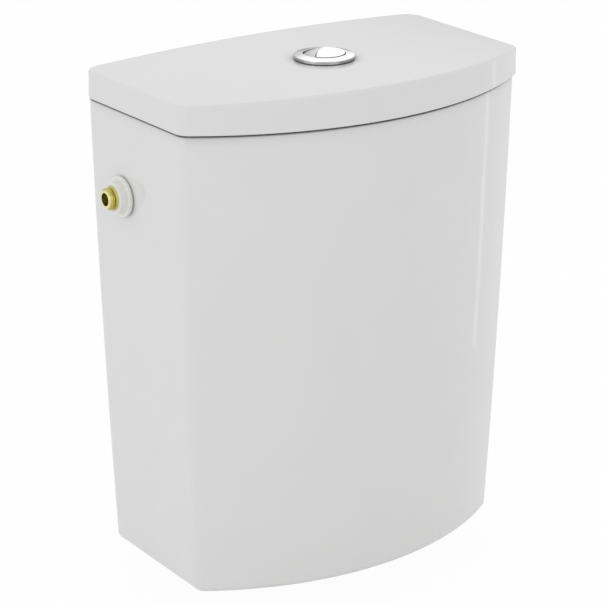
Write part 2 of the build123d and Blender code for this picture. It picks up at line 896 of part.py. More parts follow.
def inlet_filter():
    """Thimble with slots that keeps grit out of the valve."""
    low = inlet_end_x() + filter_depth
    high = low + filter_length
    radius = inlet_bore_radius - close_gap
    body = rod_x(radius, low, high, inlet_y, inlet_height)
    body -= rod_x(radius - filter_wall, low - overrun, high - filter_wall, inlet_y, inlet_height)
    slot_low = low + filter_slot * 2
    half = filter_slot / 2
    slot = block((slot_low, high - filter_slot * 2), (-half, half), (-radius * 2, radius * 2))
    for number in range(filter_slot_pairs):
        body -= Pos(0, inlet_y, inlet_height) * Rot(180 / filter_slot_pairs * number, 0, 0) * slot
    return body


def inlet_backnut():
    face = washer_face_x()
    body = rod_x(inlet_nut_radius, face - inlet_nut_flange, face, inlet_y, inlet_height)
    body += rod_x(inlet_hub_radius, hub_face_x(), face, inlet_y, inlet_height)
    body = fillet(body.edges().filter_by(GeomType.CIRCLE).group_by(Axis.X)[0], inlet_nut_round)
    bore_radius = inlet_shank_radius + thread_fit
    return body - rod_x(bore_radius, inlet_end_x(), inner_wall_x(), inlet_y, inlet_height)


def wall_washer(radius, low, high):
    """Rubber washer between a nut and the ceramic, taking up the wall's slope."""
    body = rod_x(radius, low, high, inlet_y, inlet_height)
    body -= rod_x(inlet_shank_radius + close_gap, low - overrun, high + overrun, inlet_y, inlet_height)
    return body


def inlet_outer_washer():
    return wall_washer(inlet_washer_radius, washer_face_x(), inner_wall_x()) - tank_outside()


def inlet_inner_washer():
    return wall_washer(inner_washer_radius, outer_wall_x(), valve_face_x()) & tank_inside()


# Fill valve
def chamber_x():
    return inner_wall_x() + chamber_reach


def chamber_face_y():
    """Front of the chamber, where the diaphragm sits."""
    return inlet_y - chamber_face_gap


def diaphragm_face_y():
    return chamber_face_y() - diaphragm_thickness


def cover_face_y():
    return diaphragm_face_y() - cover_thickness


def pilot_face_y():
    return cover_face_y() - pilot_length


def arm_pivot():
    return cover_face_y() - arm_pivot_advance, inlet_height - arm_pivot_drop


def spigot_y():
    return inlet_y + spigot_setback


def fill_valve_body():
    face = valve_face_x()
    back_y = chamber_face_y() + chamber_length
    body = rod_x(valve_flange_radius, face, face + valve_flange, inlet_y, inlet_height)
    body += rod_x(valve_barrel_radius, face, chamber_x(), inlet_y, inlet_height)
    body += rod_y(chamber_radius, chamber_face_y(), back_y, chamber_x(), inlet_height)
    spigot_low = inlet_height - chamber_radius - spigot_length
    body += rod_z(spigot_radius, spigot_low, inlet_height, chamber_x(), spigot_y())
    engaged = face + tail_engagement
    body -= rod_x(inlet_shank_radius + thread_fit, face - overrun, engaged, inlet_y, inlet_height)
    body -= rod_x(inlet_bore_radius, face, chamber_x(), inlet_y, inlet_height)
    pocket_radius = chamber_radius - chamber_wall * 2
    body -= rod_y(pocket_radius, chamber_face_y() - overrun, inlet_y, chamber_x(), inlet_height)
    return body - rod_z(spigot_bore_radius, spigot_low - overrun, inlet_height, chamber_x(), spigot_y())


def valve_diaphragm():
    return rod_y(valve_diaphragm_radius, diaphragm_face_y(), chamber_face_y(), chamber_x(), inlet_height)


def valve_cover():
    """Cover with the pilot nozzle in its middle and two ears for the float arm."""
    body = rod_y(cover_radius, cover_face_y(), diaphragm_face_y(), chamber_x(), inlet_height)
    body += rod_y(pilot_radius, pilot_face_y(), cover_face_y(), chamber_x(), inlet_height)
    pivot_y, pivot_z = arm_pivot()
    ear_depth = (pivot_y, cover_face_y() + close_gap)
    ear_height = (pivot_z - arm_ear_radius, pivot_z + arm_ear_radius)
    for side in (-1, 1):
        inner = chamber_x() + side * arm_ear_gap / 2
        outer = inner + side * arm_ear_thickness
        span = (min(inner, outer), max(inner, outer))
        body += rod_x(arm_ear_radius, span[0], span[1], pivot_y, pivot_z)
        body += block(span, ear_depth, ear_height)
    reach = arm_ear_gap / 2 + arm_ear_thickness + overrun
    hole_radius = arm_pin_radius + running_fit
    body -= rod_x(hole_radius, chamber_x() - reach, chamber_x() + reach, pivot_y, pivot_z)
    return body - rod_y(pilot_bore_radius, pilot_face_y() - overrun, inlet_y, chamber_x(), inlet_height)


def cap_nut():
    """Ribbed ring nut that clamps the cover and the diaphragm to the body."""
    lip_y = cover_face_y() - cap_nut_lip
    end_y = chamber_face_y() + cap_nut_grip
    body = rod_y(cap_nut_radius, lip_y, end_y, chamber_x(), inlet_height)
    rib = rod_y(cap_nut_rib_radius, lip_y, end_y, cap_nut_radius, 0.0)
    for number in range(cap_nut_ribs):
        body += Pos(chamber_x(), 0, inlet_height) * Rot(0, 360 / cap_nut_ribs * number, 0) * rib
    body -= rod_y(chamber_radius + thread_fit, cover_face_y(), end_y + overrun, chamber_x(), inlet_height)
    return body - rod_y(cap_nut_lip_radius, lip_y - overrun, end_y, chamber_x(), inlet_height)


def arm_pin():
    pivot_y, pivot_z = arm_pivot()
    half = arm_ear_gap / 2 + arm_ear_thickness
    end = chamber_x() + half + arm_pin_head
    pin = rod_x(arm_pin_radius, chamber_x() - half, end, pivot_y, pivot_z)
    return pin + rod_x(arm_pin_head_radius, chamber_x() + half, end, pivot_y, pivot_z)


def float_room():
    """Front and back of the room for the float, between the tank's front wall and the cap nut."""
    bow_radius, bow_centre = bow_circle(*tank_section(inlet_height)[1:4])
    front = bow_centre - sqrt((bow_radius - tank_wall) ** 2 - chamber_x() ** 2)
    return front, cover_face_y() - cap_nut_lip


def screw_y():
    front, back = float_room()
    return back - (back - front) * cup_place_share


def cup_radius():
    front, back = float_room()
    return (back - front) * cup_radius_share


def arm_boss_low():
    return arm_pivot()[1] - arm_boss_height / 2


def float_arm():
    """Arm that swings up with the float and shuts the pilot nozzle with its pad."""
    pivot_y, pivot_z = arm_pivot()
    half = arm_width / 2
    span = (chamber_x() - half, chamber_x() + half)
    body = rod_x(arm_hub_radius, span[0], span[1], pivot_y, pivot_z)
    bar = (pivot_z - arm_thickness / 2, pivot_z + arm_thickness / 2)
    body += block(span, (screw_y(), pivot_y), bar)
    boss_low = arm_boss_low()
    body += rod_z(arm_boss_radius, boss_low, boss_low + arm_boss_height, chamber_x(), screw_y())
    pad_travel = (arm_pivot_drop + pilot_radius) * sin(radians(arm_travel))
    pad_face = pilot_face_y() - pad_travel - pad_gap
    pad_top = inlet_height + pilot_radius
    body += block(span, (pad_face - arm_thickness, pad_face), (pivot_z, pad_top))
    body -= rod_x(arm_pin_radius + running_fit, span[0] - overrun, span[1] + overrun, pivot_y, pivot_z)
    bore_radius = screw_radius + running_fit
    top = boss_low + arm_boss_height + overrun
    return body - rod_z(bore_radius, boss_low - overrun, top, chamber_x(), screw_y())


def level_screw():
    """Screw that sets how low the float hangs under its arm."""
    boss_low = arm_boss_low()
    boss_top = boss_low + arm_boss_height
    head_top = boss_top + screw_head
    body = rod_z(screw_radius, boss_low - screw_length, boss_top, chamber_x(), screw_y())
    body += rod_z(screw_head_radius, boss_top, head_top, chamber_x(), screw_y())
    rib = rod_z(screw_head_rib_radius, boss_top, head_top, screw_head_radius)
    for number in range(screw_head_ribs):
        body += Pos(chamber_x(), screw_y(), 0) * Rot(0, 0, 360 / screw_head_ribs * number) * rib
    return body + rod_z(screw_collar_radius, boss_low - screw_collar, boss_low, chamber_x(), screw_y())


def float_cup():
    """Inverted cup with a hub in its middle for the level screw."""
    top = arm_boss_low() - screw_collar - cup_top_gap
    low = top - cup_height
    x = chamber_x()
    y = screw_y()
    body = rod_z(cup_radius(), low, top, x, y)
    body = fillet(body.edges().group_by(Axis.Z)[-1], cup_skirt_radius)
    hollow = tube_z(cup_radius() - cup_wall, cup_hub_radius, low - overrun * 2, top - cup_wall, x, y)
    body -= hollow
    return body - rod_z(screw_radius + sliding_gap, low - overrun, top + overrun, x, y)


def silencer_tube():
    """Tube that leads the incoming water down below the surface."""
    inner = spigot_radius + thread_fit
    top = inlet_height - chamber_radius - spigot_length + silencer_overlap
    return tube_z(inner + silencer_wall, inner, silencer_low, top, chamber_x(), spigot_y())


parts = {
    "tank": tank(),
    "lid": lid(),
    "button_ring": button_ring(),
    "button_housing": button_housing(),
    "button_nut": button_nut(),
    "full_flush_button": button_key(1),
    "half_flush_button": button_key(-1),
    "full_push_rod": push_rod(1),
    "half_push_rod": push_rod(-1),
    "full_button_spring": button_spring(1),
    "half_button_spring": button_spring(-1),
    "outlet_base": outlet_base(),
    "base_seal": base_seal(),
    "outlet_seal": outlet_seal(),
    "outlet_nut": outlet_nut(),
    "valve_cage": valve_cage(),
    "lever_frame": lever_frame(),
    "full_lever_pin": lever_pin(1),
    "half_lever_pin": lever_pin(-1),
    "full_flush_lever": flush_lever(1),
    "half_flush_lever": flush_lever(-1),
    "lift_yoke": lift_yoke(),
    "overflow_tube": overflow_tube(),
    "seal_carrier": seal_carrier(),
    "flush_seal": flush_seal(),
    "seal_clamp": seal_clamp(),
    "tube_float": tube_float(),
    "half_flush_float": half_flush_float(),
    "inlet_tail": inlet_tail(),
    "inlet_filter": inlet_filter(),
    "inlet_backnut": inlet_backnut(),
    "inlet_outer_washer": inlet_outer_washer(),
    "inlet_inner_washer": inlet_inner_washer(),
    "fill_valve_body": fill_valve_body(),
    "valve_diaphragm": valve_diaphragm(),
    "valve_cover": valve_cover(),
    "cap_nut": cap_nut(),
    "arm_pin": arm_pin(),
    "float_arm": float_arm(),
    "level_screw": level_screw(),
    "float_cup": float_cup(),
    "silencer_tube": silencer_tube(),
}

os.makedirs("parts", exist_ok=True)
for name, shape in parts.items():
    export_step(shape, f"parts/{name}.step")
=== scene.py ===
from math import cos, radians, sin, tau

import bmesh
import bpy
from mathutils import Matrix, Vector


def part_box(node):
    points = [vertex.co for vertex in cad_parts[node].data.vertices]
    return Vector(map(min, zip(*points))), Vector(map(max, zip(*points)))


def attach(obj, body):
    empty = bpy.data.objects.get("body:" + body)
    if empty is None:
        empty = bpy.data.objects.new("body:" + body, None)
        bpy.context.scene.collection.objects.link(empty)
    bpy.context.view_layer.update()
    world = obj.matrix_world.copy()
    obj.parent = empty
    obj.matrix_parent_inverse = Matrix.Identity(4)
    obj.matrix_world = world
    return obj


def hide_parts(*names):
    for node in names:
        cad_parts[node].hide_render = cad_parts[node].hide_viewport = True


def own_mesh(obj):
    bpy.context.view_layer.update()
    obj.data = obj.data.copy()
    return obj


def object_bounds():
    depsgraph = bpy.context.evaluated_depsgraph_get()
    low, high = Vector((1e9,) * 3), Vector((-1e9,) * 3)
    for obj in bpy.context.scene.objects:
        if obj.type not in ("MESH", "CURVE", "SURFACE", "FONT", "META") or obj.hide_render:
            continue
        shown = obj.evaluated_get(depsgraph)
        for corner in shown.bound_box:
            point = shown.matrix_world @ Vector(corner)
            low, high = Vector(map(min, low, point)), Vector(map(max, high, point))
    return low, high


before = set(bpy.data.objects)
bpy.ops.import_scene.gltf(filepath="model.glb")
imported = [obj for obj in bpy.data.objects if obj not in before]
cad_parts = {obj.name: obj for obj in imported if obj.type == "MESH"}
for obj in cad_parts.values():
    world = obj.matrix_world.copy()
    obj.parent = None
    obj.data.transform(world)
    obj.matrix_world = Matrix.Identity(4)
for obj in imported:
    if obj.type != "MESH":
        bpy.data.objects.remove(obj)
cad_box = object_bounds()
mm = 0.001


# Tank: vitreous china, slip cast in a plaster mould, sprayed with an opaque white glaze and
# fired once. It stands on its underside in the kiln, so the glaze is wiped off there and the
# bare body shows round the holes.
china_glaze = "#DCDCDC"
china_glaze_thin = "#D9D9D9"
# painted shade: the grey the glaze turns beside the seam and the button
china_painted_shade = "#8E8E8E"
china_body = "#CBC5B9"
china_ior = 1.5
glaze_wave = 55 * mm
glaze_wave_height = 0.16 * mm
glaze_peel = 7 * mm
glaze_peel_height = 0.008 * mm
glaze_roughness = (0.05, 0.11)
crevice_reach = 9 * mm
crevice_shares = (0.55, 1.0)
crevice_samples = 12
crevice_fade = (45 * mm, 25 * mm)
body_grain = 0.9 * mm
body_grain_height = 0.05 * mm
body_roughness = 0.85
wiped_edge = 0.5 * mm


def linear(code):
    """Linear RGBA of an sRGB hex colour such as #DDDDDA."""
    shares = [int(code[place:place + 2], 16) / 255 for place in (1, 3, 5)]
    return [s / 12.92 if s <= 0.04045 else ((s + 0.055) / 1.055) ** 2.4 for s in shares] + [1.0]


def add(tree, kind, sockets=None, **settings):
    """A node with its own settings, and with a value or a link for each socket that is named."""
    made = tree.nodes.new(kind)
    for name, value in settings.items():
        setattr(made, name, value)
    for key, value in (sockets or {}).items():
        if isinstance(value, bpy.types.NodeSocket):
            tree.links.new(value, made.inputs[key])
        else:
            made.inputs[key].default_value = value
    return made


def new_material(name):
    """An empty material, its node tree and its place in the object, in metres."""
    material = bpy.data.materials.new(name)
    material.use_nodes = True
    tree = material.node_tree
    tree.nodes.clear()
    return material, tree, add(tree, "ShaderNodeTexCoord").outputs["Object"]


def dress(material, *nodes):
    """Give CAD nodes a finish of their own."""
    for name in nodes:
        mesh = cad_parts[name].data
        mesh.materials.clear()
        mesh.materials.append(material)


def painted_crevice_shade(tree, height, tone):
    """The glaze's tone with painted shade: greyed where little light gets in beside the seam and the
    button. Lower down the tank it stays plain."""
    open_share = add(
        tree, "ShaderNodeAmbientOcclusion", {"Distance": crevice_reach}, samples=crevice_samples)
    clear = add(tree, "ShaderNodeMapRange", {
        "Value": open_share.outputs["AO"],
        "From Min": crevice_shares[0], "From Max": crevice_shares[1]})
    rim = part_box("tank")[1].z
    below = add(tree, "ShaderNodeMapRange", {
        "Value": height, "From Min": rim - crevice_fade[0], "From Max": rim - crevice_fade[1],
        "To Min": 1.0, "To Max": 0.0})
    plain = add(tree, "ShaderNodeMath", {
        0: clear.outputs["Result"], 1: below.outputs["Result"]}, operation="MAXIMUM")
    return add(tree, "ShaderNodeMix", {
        0: plain.outputs["Value"], 6: linear(china_painted_shade), 7: tone}, data_type="RGBA").outputs[2]


def bare_body(tree, place):
    """The fired body without glaze: matt, creamy and grainy. Its grain is drawn coarser than it
    is, so that it shows."""
    grain = add(tree, "ShaderNodeTexNoise", {
        "Vector": place, "Scale": 1 / body_grain, "Detail": 3.0})
    skin = add(tree, "ShaderNodeBump", {
        "Height": grain.outputs["Fac"], "Distance": body_grain_height})
    return add(tree, "ShaderNodeBsdfPrincipled", {
        "Base Color": linear(china_body), "Roughness": body_roughness, "IOR": china_ior,
        "Normal": skin.outputs["Normal"]}).outputs["BSDF"]


def glazed_china(name, wiped_level):
    """The glaze is a glassy white skin that lies in slow waves, thinner and a shade darker in
    places, with a faint peel. Below the wiped level the bare body shows."""
    material, tree, place = new_material(name)
    height = add(tree, "ShaderNodeSeparateXYZ", {"Vector": place}).outputs["Z"]
    waves = add(tree, "ShaderNodeTexNoise", {
        "Vector": place, "Scale": 1 / glaze_wave, "Detail": 1.0})
    peel = add(tree, "ShaderNodeTexNoise", {
        "Vector": place, "Scale": 1 / glaze_peel, "Detail": 2.0})
    tone = add(tree, "ShaderNodeMix", {
        0: waves.outputs["Fac"], 6: linear(china_glaze_thin), 7: linear(china_glaze)},
        data_type="RGBA")
    slow = add(tree, "ShaderNodeBump", {
        "Height": waves.outputs["Fac"], "Distance": glaze_wave_height})
    skin = add(tree, "ShaderNodeBump", {
        "Height": peel.outputs["Fac"], "Distance": glaze_peel_height,
        "Normal": slow.outputs["Normal"]})
    rough = add(tree, "ShaderNodeMapRange", {
        "Value": peel.outputs["Fac"], "To Min": glaze_roughness[0], "To Max": glaze_roughness[1]})
    glaze = add(tree, "ShaderNodeBsdfPrincipled", {
        # painted shade greys the glaze beside the seam and the button
        "Base Color": painted_crevice_shade(tree, height, tone.outputs[2]), "Roughness": rough.outputs["Result"],
        "IOR": china_ior, "Normal": skin.outputs["Normal"]})

    waver = add(tree, "ShaderNodeMath", {
        0: peel.outputs["Fac"], 1: wiped_edge}, operation="MULTIPLY")
    level = add(tree, "ShaderNodeMath", {0: height, 1: waver.outputs["Value"]})
    covered = add(tree, "ShaderNodeMapRange", {
        "Value": level.outputs["Value"], "From Min": wiped_level, "From Max": wiped_level + wiped_edge})
    both = add(tree, "ShaderNodeMixShader", {
        0: covered.outputs["Result"], 1: bare_body(tree, place), 2: glaze.outputs["BSDF"]})
    add(tree, "ShaderNodeOutputMaterial", {"Surface": both.outputs["Shader"]})
    return material


dress(glazed_china("Vitreous_china_tank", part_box("tank")[0].z + wiped_edge), "tank")


# Outlet: a polypropylene base whose threaded tail goes through the tank's floor, moulded white.
# A rubber washer seals it inside, another one outside, and a lobed backnut pulls it down.
white_moulding = "#E4E4E0"
rubber_black = "#262627"
polypropylene_ior = 1.49
rubber_ior = 1.52
moulding_flow = 18 * mm
moulding_clouds = (0.96, 1.03)
moulding_grain = 0.8 * mm
moulding_grain_height = 0.012 * mm
moulding_gloss_spread = (-0.05, 0.08)
rubber_grain_height = 0.024 * mm
tail_radius = 29.8 * mm
tail_bore = 25 * mm
tail_pitch = 2.31 * mm
tail_thread_depth = 0.9 * mm
tail_chamfer = 1.4 * mm
base_flange = (42 * mm, 13 * mm, 18 * mm)
seat_lip_radius = 28.5 * mm
seat_mouth = (27 * mm, 3 * mm)
thread_profile = (0, 0, 0.5, 1, 0.5)
fine_columns = 120
merge_distance = 0.002 * mm
sharp_angle = radians(32)


def moulded_plastic(name, shade, roughness, ior):
    """Moulded plastic: an even colour that clouds a little where it flowed, and the fine matt
    grain of a spark-eroded mould, drawn a few times coarser than it is so that it shows."""
    material, tree, place = new_material(name)
    flow = add(tree, "ShaderNodeTexNoise", {
        "Vector": place, "Scale": 1 / moulding_flow, "Detail": 2.0, "Distortion": 1.5})
    grain = add(tree, "ShaderNodeTexNoise", {
        "Vector": place, "Scale": 1 / moulding_grain, "Detail": 2.0})
    value = add(tree, "ShaderNodeMapRange", {
        "Value": flow.outputs["Fac"], "To Min": moulding_clouds[0], "To Max": moulding_clouds[1]})
    tone = add(tree, "ShaderNodeHueSaturation", {
        "Color": linear(shade), "Value": value.outputs["Result"]})
    rough = add(tree, "ShaderNodeMapRange", {
        "Value": grain.outputs["Fac"], "To Min": roughness + moulding_gloss_spread[0],
        "To Max": roughness + moulding_gloss_spread[1]})
    skin = add(tree, "ShaderNodeBump", {
        "Height": grain.outputs["Fac"], "Distance": moulding_grain_height})
    shader = add(tree, "ShaderNodeBsdfPrincipled", {
        "Base Color": tone.outputs["Color"], "Roughness": rough.outputs["Result"], "IOR": ior,
        "Normal": skin.outputs["Normal"]})
    add(tree, "ShaderNodeOutputMaterial", {"Surface": shader.outputs["BSDF"]})
    return material


def moulded_rubber(name, shade, bloom_share, roughness):
    """Moulded rubber: matt and soft looking, with a pale bloom in patches. Its grain is drawn
    coarser than it is, so that it shows."""
    material, tree, place = new_material(name)
    bloom = add(tree, "ShaderNodeTexNoise", {
        "Vector": place, "Scale": 1 / moulding_flow, "Detail": 4.0})
    grain = add(tree, "ShaderNodeTexNoise", {
        "Vector": place, "Scale": 1 / moulding_grain, "Detail": 3.0})
    value = add(tree, "ShaderNodeMapRange", {
        "Value": bloom.outputs["Fac"], "To Min": 1 - bloom_share / 2, "To Max": 1 + bloom_share})
    tone = add(tree, "ShaderNodeHueSaturation", {
        "Color": linear(shade), "Value": value.outputs["Result"]})
    skin = add(tree, "ShaderNodeBump", {
        "Height": grain.outputs["Fac"], "Distance": rubber_grain_height})
    shader = add(tree, "ShaderNodeBsdfPrincipled", {
        "Base Color": tone.outputs["Color"], "Roughness": roughness, "IOR": rubber_ior,
        "Normal": skin.outputs["Normal"]})
    add(tree, "ShaderNodeOutputMaterial", {"Surface": shader.outputs["BSDF"]})
    return material


def tidied(piece):
    """Merge the points that lie on each other, turn the faces outwards and shade them smooth."""
    soup = bmesh.new()
    soup.from_mesh(piece.data)
    bmesh.ops.remove_doubles(soup, verts=soup.verts, dist=merge_distance)
    bmesh.ops.dissolve_degenerate(soup, edges=soup.edges, dist=merge_distance)
    bmesh.ops.recalc_face_normals(soup, faces=soup.faces)
    soup.to_mesh(piece.data)
    soup.free()
    piece.data.shade_smooth()
    piece.data.set_sharp_from_angle(angle=sharp_angle)
    return piece


def lathe(name, rows, material, turn=Matrix.Identity(4), place=Vector()):
    """A closed mesh round the Z axis, turned and put in its place. Each row is a list of
    (radius, height, angle), each is joined to the next, and the last one to the first."""
    columns = len(rows[0])
    points = [(r * cos(a), r * sin(a), z) for row in rows for r, z, a in row]
    faces = []
    for low in range(len(rows)):
        high = (low + 1) % len(rows)
        for left in range(columns - 1):
            faces.append((low * columns + left, low * columns + left + 1,
                          high * columns + left + 1, high * columns + left))
    mesh = bpy.data.meshes.new(name)
    mesh.from_pydata(points, [], faces)
    mesh.transform(Matrix.Translation(place) @ turn)
    mesh.materials.append(material)
    piece = bpy.data.objects.new(name, mesh)
    bpy.context.scene.collection.objects.link(piece)
    return tidied(piece)


def ring_row(radius, height):
    return [(radius, height, tau * column / fine_columns) for column in range(fine_columns + 1)]


def thread_rows(radius, depth, pitch, lead, low, high):
    """Rows of a screw thread: they climb one pitch a turn and run out at a chamfer at each end."""
    step = pitch / len(thread_profile)
    count = int((high - low + pitch) / step) + 2
    rows = []
    for row in range(count):
        line = []
        for column in range(fine_columns + 1):
            height = low - pitch + row * step + pitch * column / fine_columns
            height = min(max(height, low), high)
            end = min(height - low, high - height)
            cut = max(depth * thread_profile[row % len(thread_profile)], lead - end)
            line.append((radius - cut, height, tau * column / fine_columns))
        rows.append(line)
    return rows


def outlet_base(material):
    low, high = (corner.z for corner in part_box("outlet_base"))
    mouth_low = high - seat_mouth[1]
    rows = [ring_row(seat_mouth[0], high), ring_row(seat_mouth[0], mouth_low)]
    rows += [ring_row(tail_bore, mouth_low), ring_row(tail_bore, low)]
    rows += thread_rows(tail_radius, tail_thread_depth, tail_pitch, tail_chamfer, low, 0.0)
    rows += [ring_row(tail_radius, 0.0), ring_row(tail_radius, base_flange[1])]
    rows += [ring_row(base_flange[0], height) for height in base_flange[1:]]
    rows += [ring_row(seat_lip_radius, height) for height in (base_flange[2], high)]
    return lathe("threaded_outlet_base", rows, material)


white_polypropylene = moulded_plastic(
    "White_polypropylene", white_moulding, roughness=0.34, ior=polypropylene_ior)
black_rubber = moulded_rubber("EPDM_rubber", rubber_black, bloom_share=0.4, roughness=0.75)
base = outlet_base(white_polypropylene)
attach(base, "cistern")
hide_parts("outlet_base")
dress(white_polypropylene, "outlet_nut")
dress(black_rubber, "base_seal", "outlet_seal")


# Flush valve's cage and the frame above it: the cage is white polypropylene with windows for
# the water, and the frame is grey ABS, moulded in one with its posts, ears and float guide.
# Two steel pins are pressed into the ears.
grey_moulding = "#8F9496"
abs_ior = 1.54
steel_tone = "#B4B4B0"
steel_roughness = (0.22, 0.36)
drawn_line = 0.5 * mm
drawn_line_height = 0.006 * mm


def drawn_steel(name):
    """Drawn stainless wire: pale warm grey, with fine lines that blur what it reflects, drawn
    coarser than they are so that they show."""
    material, tree, place = new_material(name)
    lines = add(tree, "ShaderNodeTexNoise", {
        "Vector": place, "Scale": 1 / drawn_line, "Detail": 2.0})
    rough = add(tree, "ShaderNodeMapRange", {
        "Value": lines.outputs["Fac"], "To Min": steel_roughness[0], "To Max": steel_roughness[1]})
    skin = add(tree, "ShaderNodeBump", {
        "Height": lines.outputs["Fac"], "Distance": drawn_line_height})
    shader = add(tree, "ShaderNodeBsdfPrincipled", {
        "Base Color": linear(steel_tone), "Metallic": 1.0, "Roughness": rough.outputs["Result"],
        "Normal": skin.outputs["Normal"]})
    add(tree, "ShaderNodeOutputMaterial", {"Surface": shader.outputs["BSDF"]})
    return material


grey_abs = moulded_plastic("Grey_ABS", grey_moulding, roughness=0.38, ior=abs_ior)
stainless_steel = drawn_steel("Drawn_stainless_steel")
dress(white_polypropylene, "valve_cage")
dress(grey_abs, "lever_frame")
dress(stainless_steel, "full_lever_pin", "half_lever_pin")


# Overflow tube: extruded grey ABS, with the seal's carrier pushed on at its foot, a red silicone
# flush seal clamped under it, an open-bottomed float round it and a blue yoke between two collars.
blue_moulding = "#3F6C8E"
silicone_red = "#B0604F"

blue_polypropylene = moulded_plastic(
    "Blue_polypropylene", blue_moulding, roughness=0.36, ior=polypropylene_ior)
red_silicone = moulded_rubber("Silicone_rubber", silicone_red, bloom_share=0.12, roughness=0.5)
dress(grey_abs, "overflow_tube", "seal_clamp")
dress(blue_polypropylene, "seal_carrier", "lift_yoke")
dress(red_silicone, "flush_seal")
dress(white_polypropylene, "tube_float")


# Rockers and the half-flush float: acetal, moulded white and a little waxy, so that the rockers
# turn on their pins without grease. The float slides on the frame's round guide.
acetal_white = "#E6E5DF"
acetal_ior = 1.48

white_acetal = moulded_plastic("White_acetal", acetal_white, roughness=0.28, ior=acetal_ior)
dress(white_acetal, "full_flush_lever", "half_flush_lever", "half_flush_float")


# Water inlet: a brass tail, turned from bar with a cut thread, held in the wall by a flanged
# white polypropylene backnut over a grey rubber washer. A slotted filter sits in its bore.
brass_tone = "#D2C672"
brass_dull = "#A09850"
# painted highlight: the pale bright tone on the tail's end
brass_painted_highlight = "#EAE1A2"
brass_roughness = (0.42, 0.24)
rubber_grey = "#9C9C9A"
tarnish_patch = 5 * mm
tool_mark = 0.35 * mm
tool_mark_length = 25 * mm
tool_mark_height = 0.01 * mm
thread_radius = 8.33 * mm
shank_radius = 8.9 * mm
thread_depth = 0.6 * mm
thread_pitch = 1.34 * mm
thread_chamfer = 0.9 * mm
bore_radius = 5 * mm
end_radius = 6.2 * mm
end_flat = 0.1 * mm
end_cone = 1.3 * mm
shank_stand = 1.1 * mm
thread_relief = 0.6 * mm


def turned_brass(name):
    """Turned brass: olive yellow where it has dulled, with a pale, bright painted highlight on its end.
    Fine rings from the tool smear its reflections round the axis. They are drawn about twice
    as coarse as they are, so that they show."""
    material, tree, place = new_material(name)
    patches = add(tree, "ShaderNodeTexNoise", {
        "Vector": place, "Scale": 1 / tarnish_patch, "Detail": 4.0})
    dulled = add(tree, "ShaderNodeMix", {
        0: patches.outputs["Fac"], 6: linear(brass_dull), 7: linear(brass_tone)},
        data_type="RGBA")
    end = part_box("inlet_tail")[0].x
    along_axis = add(tree, "ShaderNodeSeparateXYZ", {"Vector": place})
    highlit_end = add(tree, "ShaderNodeMapRange", {
        "Value": along_axis.outputs["X"], "From Min": end + end_flat, "From Max": end + end_cone,
        "To Min": 1.0, "To Max": 0.0}, interpolation_type="SMOOTHSTEP")
    tone = add(tree, "ShaderNodeMix", {
        0: highlit_end.outputs["Result"], 6: dulled.outputs[2], 7: linear(brass_painted_highlight)},
        data_type="RGBA")
    rough = add(tree, "ShaderNodeMapRange", {
        "Value": patches.outputs["Fac"], "To Min": brass_roughness[0], "To Max": brass_roughness[1]})
    rings = add(tree, "ShaderNodeMapping", {
        "Vector": place, "Scale": (1 / tool_mark, 1 / tool_mark_length, 1 / tool_mark_length)})
    marks = add(tree, "ShaderNodeTexNoise", {
        "Vector": rings.outputs["Vector"], "Scale": 1.0, "Detail": 2.0})
    skin = add(tree, "ShaderNodeBump", {
        "Height": marks.outputs["Fac"], "Distance": tool_mark_height})
    shader = add(tree, "ShaderNodeBsdfPrincipled", {
        "Base Color": tone.outputs[2], "Metallic": 1.0, "Roughness": rough.outputs["Result"],
        "Normal": skin.outputs["Normal"]})
    add(tree, "ShaderNodeOutputMaterial", {"Surface": shader.outputs["BSDF"]})
    return material


def inlet_tail(material):
    low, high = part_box("inlet_tail")
    length = high.x - low.x
    groove = thread_radius - thread_depth
    shank_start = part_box("inlet_backnut")[0].x - shank_stand - low.x
    thread_end = shank_start - thread_relief
    cut = (thread_depth, thread_pitch, thread_chamfer)
    rows = [ring_row(bore_radius, 0.0), ring_row(end_radius, 0.0)]
    rows += thread_rows(thread_radius, *cut, end_cone, thread_end)
    rows += [ring_row(groove, thread_end), ring_row(groove, shank_start)]
    rows += thread_rows(shank_radius, *cut, shank_start, length)
    rows += [ring_row(bore_radius, length)]
    lie_down = Matrix.Rotation(radians(90), 4, "Y")
    place = Vector((low.x, (low.y + high.y) / 2, (low.z + high.z) / 2))
    return lathe("threaded_inlet_tail", rows, material, lie_down, place)


brass = turned_brass("Turned_brass")
grey_rubber = moulded_rubber("Grey_rubber", rubber_grey, bloom_share=0.2, roughness=0.7)
tail = inlet_tail(brass)
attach(tail, "cistern")
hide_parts("inlet_tail")
dress(white_polypropylene, "inlet_backnut", "inlet_filter")
dress(grey_rubber, "inlet_outer_washer", "inlet_inner_washer")


# Fill valve: a white polypropylene body screwed onto the tail, a rubber diaphragm, a grey ABS
# cover with the pilot nozzle and a blue ribbed cap nut. A float on a grey level screw hangs from
# the acetal arm, and a tube leads the water down so that it fills quietly.
dress(white_polypropylene, "fill_valve_body", "float_cup")
dress(black_rubber, "valve_diaphragm")
dress(grey_abs, "valve_cover", "level_screw", "silencer_tube")
dress(blue_polypropylene, "cap_nut")
dress(stainless_steel, "arm_pin")
dress(white_acetal, "float_arm")


# Lid: the same glazed china, cast and fired as one piece with the lugs that centre it in the
# tank's mouth. The rim that rests on the tank is wiped before firing.
dress(glazed_china("Vitreous_china_lid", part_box("tank")[1].z + wiped_edge), "lid")


